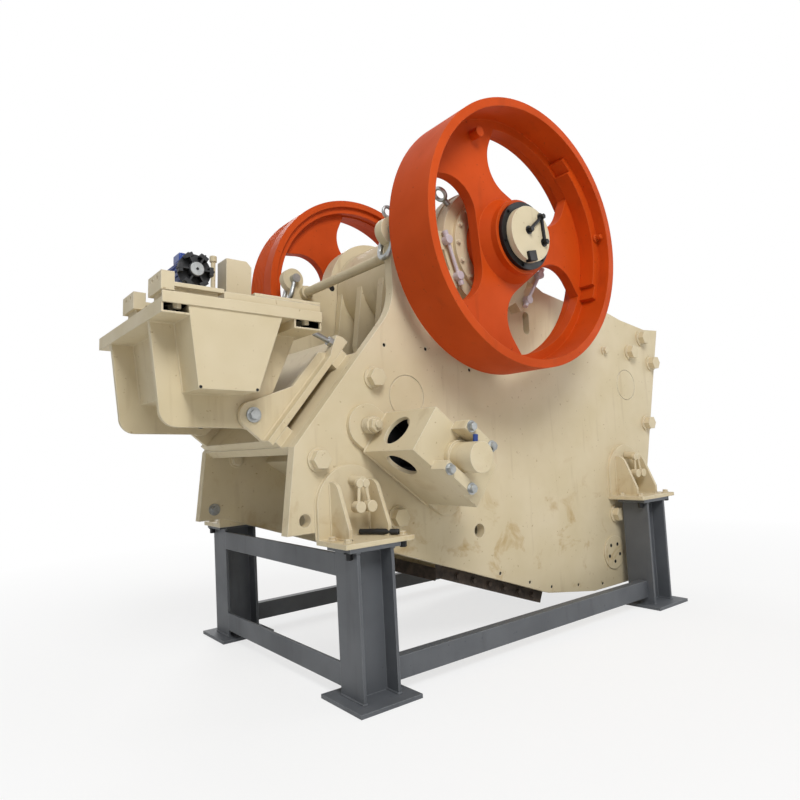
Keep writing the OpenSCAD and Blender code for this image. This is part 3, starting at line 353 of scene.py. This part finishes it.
def on_base(x, y, z):
    """A place on the motor base, from its pivot."""
    c, d = math.cos(TILT), math.sin(TILT)
    return Vector((PIVOT.x + (x * c + z * d) / 1000, y / 1000, PIVOT.z + (z * c - x * d) / 1000))


def on_pump(radius, angle, y):
    """A place at a radius and an angle about the axis of the pump motor."""
    return on_base(PUMP_X + radius * math.cos(angle), y, PUMP_Z + radius * math.sin(angle))


def on_wedge(side, x, deep, z):
    """A place on a wedge adjuster: along the toggle line, out from the plate, across the line."""
    c, d = math.cos(TOGGLE), math.sin(TOGGLE)
    return at(TOGGLE_END[0] + x * c + z * d, side * (PLATE_OUTSIDE + deep), TOGGLE_END[1] - x * d + z * c)


# Fittings in plain mesh code

CREASE = math.radians(38)
# thickness of the dark sheets that paint shade inside the adjuster boxes and the beams
SHADE_SHEET_T = 1.5


def circle(centre, radius, along, across, count=24):
    """Places round a circle in the plane of two directions; radius in millimetres."""
    turns = [2 * math.pi * i / count for i in range(count)]
    return [centre + radius / 1000 * (math.cos(a) * along + math.sin(a) * across) for a in turns]


def bent_rod(path, radius, sides=12, closed=False):
    """A round bar along a path; radius in millimetres."""
    verts, faces, side, last = [], [], None, len(path) - 1
    for i, place in enumerate(path):
        if closed:
            before, after = path[i - 1], path[(i + 1) % len(path)]
        else:
            before, after = path[max(i - 1, 0)], path[min(i + 1, last)]
        run = (after - before).normalized()
        side = run.orthogonal() if side is None else side - run * side.dot(run)
        side.normalize()
        verts += circle(place, radius, side, run.cross(side), sides)
    for i in range(len(path) if closed else last):
        a, b = i * sides, (i + 1) % len(path) * sides
        faces += [(a + k, a + (k + 1) % sides, b + (k + 1) % sides, b + k) for k in range(sides)]
    if not closed:
        faces += [tuple(range(sides)), tuple(range(last * sides, last * sides + sides))]
    return verts, faces


def cross_pin(x, z, side, inner, outer, radius, sides=12):
    """A round bar square to the plates, between two distances from the middle plane."""
    return bent_rod([at(x, side * inner, z), at(x, side * outer, z)], radius, sides)


def block(centre, size, turn=0.0):
    """A box of size in millimetres, turned about the cross axis of the machine."""
    spin = Matrix.Rotation(turn, 3, "Y")
    verts = [centre + spin @ Vector((x * size[0], y * size[1], z * size[2])) / 2000
             for x, y, z in itertools.product(BOTH, repeat=3)]
    return verts, [(0, 1, 3, 2), (4, 6, 7, 5), (0, 4, 5, 1), (2, 3, 7, 6), (0, 2, 6, 4), (1, 5, 7, 3)]


def pierced_sheet(centre, along, across, half, hole, radius, count=48):
    """A thin sheet with a round hole: half its sizes, the hole's shift and radius, in millimetres."""
    verts, faces, out = [], [], along.cross(across)
    for lift, edge in itertools.product((-SHADE_SHEET_T / 2, SHADE_SHEET_T / 2), (False, True)):
        for k in range(count):
            x, y = math.cos(2 * math.pi * k / count), math.sin(2 * math.pi * k / count)
            room = min((half[0] - math.copysign(hole, x * hole)) / max(abs(x), 1e-6),
                       half[1] / max(abs(y), 1e-6))
            reach = room if edge else radius
            verts.append(centre + (along * (hole + reach * x) + across * reach * y + out * lift) / 1000)
    for k in range(count):
        j = (k + 1) % count
        for a, b in ((0, 1), (2, 3), (0, 2), (1, 3)):
            faces.append((a * count + k, b * count + k, b * count + j, a * count + j))
    return verts, faces


def fitting(name, shapes, finish, body, soften=1.5):
    """One piece of several closed shapes, with softened edges, that rides on a body."""
    made = bmesh.new()
    for verts, faces in shapes:
        added = [made.verts.new(v) for v in verts]
        for face in faces:
            made.faces.new([added[i] for i in face])
    bmesh.ops.recalc_face_normals(made, faces=made.faces)
    mesh = bpy.data.meshes.new(name)
    made.to_mesh(mesh)
    made.free()
    mesh.shade_smooth()
    mesh.set_sharp_from_angle(angle=CREASE)
    mesh.materials.append(FINISH[finish])
    holder = bpy.data.objects.new(name, mesh)
    bpy.context.scene.collection.objects.link(holder)
    edges = holder.modifiers.new("soft_edges", "BEVEL")
    edges.width, edges.segments = soften / 1000, 2
    edges.limit_method, edges.angle_limit = "ANGLE", CREASE
    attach(holder, body)


# Bearing housings: cover screws, swing bolts between the lugs and a lifting eye on the near one
bolts("bearing_cover_screws", [(p, face) for side, face in SIDES for p in ring(288, side * COVER_FACE, 16)],
      13, 10, "cream_paint", "frame")
# each swing bolt joins two lugs, given by angle and distance
LUG_PAIRS = (((-15, 455), (-44, 430)), ((180, 374), (215, 366)))
swing_bolts = []
for side, pair in itertools.product(BOTH, LUG_PAIRS):
    ends = [on_lug(*lug, side * COVER_FACE) for lug in pair]
    middle = (ends[0] + ends[1]) / 2
    swing_bolts.append(bent_rod(ends, 11))
    for lug, end in zip(pair, ends):
        barrel = [on_lug(*lug, side * (COVER_FACE + out)) for out in (-32, 20)]
        swing_bolts += [bent_rod(barrel, 27), bent_rod([end, end + (end - middle).normalized() * 0.056], 18)]
fitting("housing_swing_bolts", swing_bolts, "pale_primer", "frame")
EYE_ANGLE, EYE_Y = 139, -676
eye_lean = (UP + AHEAD * -0.9).normalized()
eye = [bent_rod(circle(on_lug(EYE_ANGLE, 466, EYE_Y), 40, FAR, eye_lean), 12, closed=True),
       bent_rod([on_lug(EYE_ANGLE, 380, EYE_Y), on_lug(EYE_ANGLE, 430, EYE_Y)], 18)]
fitting("housing_lifting_eye", eye, "galvanised", "frame")

# Wheels: a headed pin in each counterweight
PIN_X, PIN_Z = 722, SHAFT_HEIGHT + 103
pins = []
for side in BOTH:
    pins += [cross_pin(PIN_X, PIN_Z, side, 990, 1050, 17), cross_pin(PIN_X, PIN_Z, side, 998, 1012, 26)]
fitting("weight_pins", pins, "orange_paint", "rotor")

# Far plate, seen from inside: the big bolt behind the adjuster, two black discs that paint the shade of bores
# and a bolt in the bar hole
bolts("inner_plate_bolt", [(at(-1189, PLATE_INSIDE, 440), NEAR)], 38, 26, "cream_paint", "frame", 1.3, 8)
BORES = ((-376, 1689), (-316, 1490))
# black discs flush on the plate: painted shade of two bores
bore_shade_discs = [cross_pin(x, z, 1, PLATE_INSIDE - 0.4, PLATE_INSIDE + 2, 23, 24) for x, z in BORES]
fitting("inner_plate_bore_shade", bore_shade_discs, "black_steel", "frame", 0.2)
bolts("bar_hole_bolt", [(at(-1349, PLATE_INSIDE, 129), NEAR)], 21, 18, "galvanised", "frame", 1.8, 5)

# Shaft ends: lock straps on three screws, a square key and screws in the lock rings
STRAP_SCREWS = ((-20, 19), (91, 114), (109, -37))
straps, keys = [], []
for side in BOTH:
    spots = [at(x, side * (CAP_FACE + 10), SHAFT_HEIGHT + z) for x, z in STRAP_SCREWS]
    straps += [bent_rod(spots[:2], 10), bent_rod(spots[1:], 10)]
    keys.append(block(at(-14, side * CAP_FACE, SHAFT_HEIGHT - 138), (66, 40, 62), math.radians(-12)))
fitting("shaft_lock_straps", straps, "black_steel", "rotor")
fitting("shaft_end_keys", keys, "black_steel", "rotor", 4)
bolts("shaft_strap_screws", [(at(x, side * CAP_FACE, SHAFT_HEIGHT + z), face) for side, face in SIDES
                             for x, z in STRAP_SCREWS], 17, 24, "black_steel", "rotor", 1.5, 6)
bolts("lock_ring_screws", [(p, face) for side, face in SIDES
                           for p in ring(186, side * LOCK_RING_FACE, 6, 0.3)], 8, 6, "black_steel", "rotor")

# Near ear: an eye on its top, set forward so that the swung shackle clears it
EAR_EYE = (-702, -601)
eye = [bent_rod(circle(at(*EAR_EYE, 1840), 31, AHEAD, UP), 10, closed=True),
       bent_rod([at(*EAR_EYE, 1795), at(*EAR_EYE, 1811)], 14)]
fitting("ear_eye", eye, "galvanised", "frame")

# Plates: dark threads in the tapped holes and dark screws in the drilled covers, both also painting the shade
# inside the holes, and bolts in the lower beams
TAPPED = ((-801, 1046), (-500, 1038), (-154, 923), (5, -350), (271, -449), (481, -514),
          (761, -550), (1037, -587))
# black sleeves in the tapped holes: bare threads, and painted shade of the holes
threads_and_hole_shade = [cross_pin(x, z, side, PLATE_OUTSIDE - 5, PLATE_OUTSIDE - 21, 10.6)
           for side in BOTH for x, z in TAPPED]
fitting("tapped_threads_and_hole_shade", threads_and_hole_shade, "black_steel", "frame", 0.5)
COVER_DISC, COVER_RING = (1195, -387), 66
# black plugs in the holes of the drilled covers: screws, and painted shade of the holes
screws_and_hole_shade = []
for side, i in itertools.product(BOTH, range(5)):
    angle = math.radians(54 + 72 * i)
    x, z = COVER_DISC[0] + COVER_RING * math.cos(angle), COVER_DISC[1] + COVER_RING * math.sin(angle)
    screws_and_hole_shade.append(cross_pin(x, z, side, PLATE_OUTSIDE + 0.4, PLATE_OUTSIDE + 8.4, 13, 20))
fitting("cover_disc_screws_and_hole_shade", screws_and_hole_shade, "black_steel", "frame", 0.5)
BEAM_END, BEAM_FALL = (447, -548), 0.353
beam_spots = [(x, BEAM_END[1] - (x - BEAM_END[0]) * BEAM_FALL - 38) for x in range(-300, 351, 130)]
bolts("lower_beam_bolts", [(at(x, side * PLATE_INSIDE, z), face) for side, face in SIDES
                           for x, z in beam_spots], 17, 12, "manganese_steel", "frame")

# Feet: bolts to the stand, a pin with two swing bolts and a rubber strip
bolts("foot_bolts", [(at(x + dx, side * (PLATE_OUTSIDE + dy), 25), UP) for x in FOOT_X for side in BOTH
                     for dx in (-165, 165) for dy in (90, 235)], 19, 15, "cream_paint", "frame")
bolts("foot_nuts", [(at(x + dx, side * (PLATE_OUTSIDE + 235), z), DOWN) for x in FOOT_X for side in BOTH
                    for dx, z in ((-165, -20), (165, 0))], 19, 30, "black_steel", "frame")
hangers = []
for foot_x, side in itertools.product(FOOT_X, BOTH):
    hangers.append(bent_rod([at(foot_x + 7, side * 658, 312), at(foot_x + 15, side * 752, 306)], 26, 20))
    for top, foot in ((-3, -19), (35, 51)):
        head, tail = at(foot_x + top, side * 742, 296), at(foot_x + foot, side * 752, 178)
        hangers += [bent_rod([head, tail], 9), bent_rod([tail - FAR * 0.026, tail + FAR * 0.026], 30, 20),
                    bent_rod([head - FAR * 0.012, head + FAR * 0.012], 22, 16)]
fitting("foot_swing_bolts", hangers, "cream_paint", "frame")
strip = bent_rod([at(-1052, -672, 42), at(-1000, -752, 43), at(-938, -862, 42)], 15)
fitting("foot_rubber_strip", [strip], "black_plastic", "frame", 4)

# Wedge adjusters: clamp bolts, a hose plug on each cylinder, piston rods and dark sheets on the inner walls
# of the boxes, painted shade seen through their holes
bolts("clamp_bolts", [(on_wedge(side, x, 557, z), face) for side, face in SIDES for x in (-113, 57)
                      for z in (-128, 128)], 22, 18, "galvanised", "frame")
plugs = [bent_rod([on_wedge(side, -52, 565, 70), on_wedge(side, -74, 565, 108)], 13) for side in BOTH]
fitting("cylinder_hose_plugs", plugs, "blue_paint", "frame")
BOX_MID, BOX_DEEP, BOX_BORE = -28, 225, 88
rods = [bent_rod([on_wedge(side, BOX_MID, 34, 0), on_wedge(side, BOX_MID, 420, 0)], 46, 28) for side in BOTH]
fitting("adjuster_piston_rods", rods, "bare_steel", "frame")
# dark sheets inside each box: painted shade for its holes
inside = []
for side in BOTH:
    inside.append(block(on_wedge(side, BOX_MID, 31, 0), (464, SHADE_SHEET_T, 216), TOGGLE))
    for way in BOTH:
        wall = on_wedge(side, BOX_MID, BOX_DEEP, way * 109)
        end = on_wedge(side, BOX_MID + way * 233, BOX_DEEP, 0)
        inside += [pierced_sheet(wall, WEDGE_ALONG, FAR, (231, 193), -128, BOX_BORE),
                   pierced_sheet(end, WEDGE_ACROSS, FAR, (107, 193), 0, BOX_BORE)]
fitting("adjuster_box_painted_shade", inside, "black_steel", "frame", 0.3)

# Motor base: bolts, the angle bar of the near rail, dark rods painting the shade of the gaps at the box
# corners, dark sheets painting the shade inside the beams
BEAM_X = (-452, 223)
bolts("pivot_bolts", [(Vector((PIVOT.x, side * 0.414, PIVOT.z)), face) for side, face in SIDES],
      27, 20, "galvanised", "frame", 1.5, 8)
bolts("beam_bolts", [(on_base(x, y, 503), DOWN) for x in BEAM_X for y in (-562, -480, -180)],
      21, 28, "cream_paint", "motor_base")
bolts("rail_bolts", [(on_base(x, y, 592), UP) for x in (-425, -275) for y in (-485, -30)],
      17, 13, "cream_paint", "motor_base")
angle_bar = [block(on_base(-114, -597, 515), (835, 14, 54), TILT),
             block(on_base(36, -579, 547), (535, 12, 70), TILT),
             block(on_base(115, -560, 590), (376, 50, 16), TILT)]
fitting("slide_rail_angle", angle_bar, "cream_paint", "motor_base", 2)
# dark rods at the box corners: painted shade of the gaps there
corner_gap_shade = [bent_rod([on_base(x, side * (BASE_HALF - 1), 109), on_base(x, side * (BASE_HALF + 0.6), 109)], 8)
        for side in BOTH for x in (-346, -62)]
fitting("box_corner_painted_shade", corner_gap_shade, "black_steel", "motor_base", 0.3)
# dark sheets on the inner walls of the beams: painted shade in their open ends
beam_shade_sheets = []
for x in BEAM_X:
    beam_shade_sheets += [block(on_base(x, 0, z), (141, 1160, SHADE_SHEET_T), TILT) for z in (452.5, 501.5)]
    beam_shade_sheets += [block(on_base(x + dx, 0, 477), (SHADE_SHEET_T, 1160, 47), TILT) for dx in (-70, 70)]
fitting("beam_painted_shade", beam_shade_sheets, "black_steel", "motor_base", 0.3)

# Pump: cooling fins, terminal box, fan, the pump behind the motor and the breather of the oil tank
fins = []
for i in range(18):
    angle = 2 * math.pi * i / 18
    fins.append(block(on_pump(74, angle, -225), (16, 190, 4), -angle + TILT))
fitting("pump_cooling_fins", fins, "blue_paint", "motor_base", 0.8)
terminal_box = block(on_base(PUMP_X, -215, 822), (90, 96, 46), TILT)
fitting("pump_terminal_box", [terminal_box], "blue_paint", "motor_base", 5)
paddles = []
for i in range(6):
    angle = math.pi / 3 * i
    paddles.append(block(on_pump(78, angle, -380), (22, 36, 46), -angle + TILT))
fitting("fan_paddles", paddles, "black_plastic", "fan", 3)
for name, start, end, radius, sides, finish, body, soften in (
        ("fan_hub_plate", -400, -408, 35, 32, "galvanised", "fan", 2),
        ("fan_screw", -407, -411, 7, 12, "black_steel", "fan", 0.8),
        ("pump_body", -134, -40, 62, 28, "black_steel", "motor_base", 4)):
    fitting(name, [bent_rod([on_pump(0, 0, start), on_pump(0, 0, end)], radius, sides)], finish, body, soften)
breather = [bent_rod([on_base(-90, -70, low), on_base(-90, -70, high)], radius, 16)
            for low, high, radius in ((512, 905, 13), (885, 920, 20))]
fitting("tank_breather", breather, "cream_paint", "motor_base", 3)

# Weld beads


def rectangle(x0, x1, y0, y1):
    """The corners of a rectangle in turn, and the first again."""
    return (x0, y0), (x1, y0), (x1, y1), (x0, y1), (x0, y0)


ARCH, ARCH_HEIGHT = 205, 187
foot_beads = []
for x, side in itertools.product(FOOT_X, BOTH):
    for rib, edge in itertools.product((x - 120, x + 120), (-10, 10)):
        foot_beads.append([at(rib + edge, side * y, z) for y, z in ((825, 27), (660, 27), (660, 300))])
    wall = side * (PLATE_OUTSIDE + 1)
    arch = [at(x + ARCH * math.cos(a), wall, ARCH_HEIGHT + ARCH * math.sin(a))
            for a in [math.pi * i / 16 for i in range(17)]]
    foot_beads.append([at(x + ARCH, wall, 25)] + arch + [at(x - ARCH, wall, 25)])
welds("foot_welds", foot_beads, 6, "cream_paint", "frame")
BOX_OUTLINE = ((75, 490), (-53, 100), (-355, 100), (-408, 490))
box_beads = []
for side in BOTH:
    box_beads += [[on_base(x, side * y, z) for x, z in BOX_OUTLINE] for y in (GUSSET_FACE, GUSSET_FACE - 32)]
    box_beads.append([on_base(x, side * GUSSET_FACE, 442) for x in (-372, -522)])
welds("motor_base_welds", box_beads, 7, "cream_paint", "motor_base")
ear_beads = [[on_slope(-10, side * y, 76), on_slope(640, side * y, 76)] for side in BOTH for y in (415, 381)]
ear_beads += [[on_wedge(side, x, 31, z) for x, z in rectangle(-284, 228, 132, -132)] for side in BOTH]
welds("bracket_welds", ear_beads, 6, "cream_paint", "frame")
LEG_SHIFT, LEG_Y = -32, 804
leg_beads = []
for x, side, z, flange in itertools.product(FOOT_X, BOTH, (-728, -22), (-102, 102)):
    middle = x + LEG_SHIFT + flange
    leg_beads.append([at(middle + dx, side * LEG_Y + dy, z) for dx, dy in rectangle(-9, 9, -101, 101)])
welds("leg_welds", leg_beads, 6, "dark_grey_paint", "frame")

# Floor, light and camera

FLOOR_HALF, FLOOR_Z = 60, -0.002


def soft_lamp(name, place, aim, size, power):
    """A round area lamp at a place, turned to what it lights."""
    lamp = bpy.data.lights.new(name, "AREA")
    lamp.shape, lamp.size, lamp.energy = "DISK", size, power
    holder = bpy.data.objects.new(name, lamp)
    holder.location = place
    holder.rotation_euler = (Vector(aim) - Vector(place)).to_track_quat("-Z", "Y").to_euler()
    bpy.context.scene.collection.objects.link(holder)


def seen_plainly(tree):
    """One for a ray that comes from the camera, through a clear piece or off a shiny one, else nothing."""
    rays = add(tree, "ShaderNodeLightPath").outputs
    seen = add(tree, "ShaderNodeMath", {0: rays["Is Camera Ray"], 1: rays["Is Transmission Ray"]},
               operation="MAXIMUM")
    mirrored = add(tree, "ShaderNodeMath", {0: seen.outputs[0], 1: rays["Is Glossy Ray"]},
                   operation="MAXIMUM")
    return mirrored.outputs[0]


def studio_floor():
    """A wide pale floor that shows white to the camera and keeps the shadow."""
    mesh = bpy.data.meshes.new("studio_floor")
    corners = rectangle(-FLOOR_HALF, FLOOR_HALF, -FLOOR_HALF, FLOOR_HALF)[:4]
    mesh.from_pydata([(x, y, FLOOR_Z) for x, y in corners], [], [(0, 1, 2, 3)])
    floor = bpy.data.objects.new("studio_floor", mesh)
    bpy.context.scene.collection.objects.link(floor)
    material, tree, shader, place = blank_material("pale_studio_floor")
    shader.inputs["Base Color"].default_value = linear("#f4f4f2")
    shader.inputs["Roughness"].default_value = 0.9
    # far from the machine the floor runs out into plain white; near it the shadow shows
    away = add(tree, "ShaderNodeVectorMath", {0: place}, operation="LENGTH")
    white = add(tree, "ShaderNodeEmission", {"Color": (1, 1, 1, 1), "Strength": 1.0})
    far_off = add(tree, "ShaderNodeMapRange", {0: away.outputs["Value"], 1: 2.2, 2: 6.0, 3: 0.72, 4: 1.0})
    share = add(tree, "ShaderNodeMath", {0: far_off.outputs[0], 1: seen_plainly(tree)}, operation="MULTIPLY")
    mixed = add(tree, "ShaderNodeMixShader", {0: share.outputs[0], 1: shader.outputs[0], 2: white.outputs[0]})
    tree.links.new(mixed.outputs[0], tree.nodes["Material Output"].inputs[0])
    mesh.materials.append(material)


def pale_world():
    """A pale room that lights the machine softly and shows white behind it."""
    world = bpy.data.worlds.new("pale_room")
    world.use_nodes = True
    tree = world.node_tree
    tree.nodes.clear()
    lit = add(tree, "ShaderNodeBackground", {"Color": linear("#f2f4f7"), "Strength": 0.34})
    shown = add(tree, "ShaderNodeBackground", {"Color": (1, 1, 1, 1), "Strength": 1.0})
    mixed = add(tree, "ShaderNodeMixShader", {0: seen_plainly(tree), 1: lit.outputs[0], 2: shown.outputs[0]})
    add(tree, "ShaderNodeOutputWorld", {0: mixed.outputs[0]})
    bpy.context.scene.world = world


def photo_camera():
    """Stands where the photograph was taken: turned 37.6 degrees, tipped up 4 and rolled 3."""
    turn, tip, roll = 0.6558, 0.0691, -0.054
    ahead = Vector((math.sin(turn) * math.cos(tip), math.cos(turn) * math.cos(tip), math.sin(tip)))
    level = Vector((math.cos(turn), -math.sin(turn), 0))
    above = level.cross(ahead)
    right = math.cos(roll) * level + math.sin(roll) * above
    up = math.cos(roll) * above - math.sin(roll) * level
    lens = bpy.data.cameras.new("photo_camera")
    lens.lens, lens.sensor_width = 28.97, 36.0
    camera = bpy.data.objects.new("photo_camera", lens)
    turned = Matrix((right, up, -ahead)).transposed().to_4x4()
    turned.translation = Vector((SHAFT.x - 2.9309, -3.5198, 1.2338))
    camera.matrix_world = turned
    bpy.context.scene.collection.objects.link(camera)
    bpy.context.scene.camera = camera


studio_floor()
pale_world()
photo_camera()
soft_lamp("key_light", (-3.2, -7.0, 7.5), (0, 0, 1.3), 4.0, 565)
soft_lamp("fill_light", (6.5, -4.5, 4.0), (0, 0, 1.4), 4.0, 85)
soft_lamp("back_light", (2.0, 6.5, 6.0), (0, 0, 1.6), 4.0, 240)
bpy.context.scene.view_settings.view_transform = "Standard"
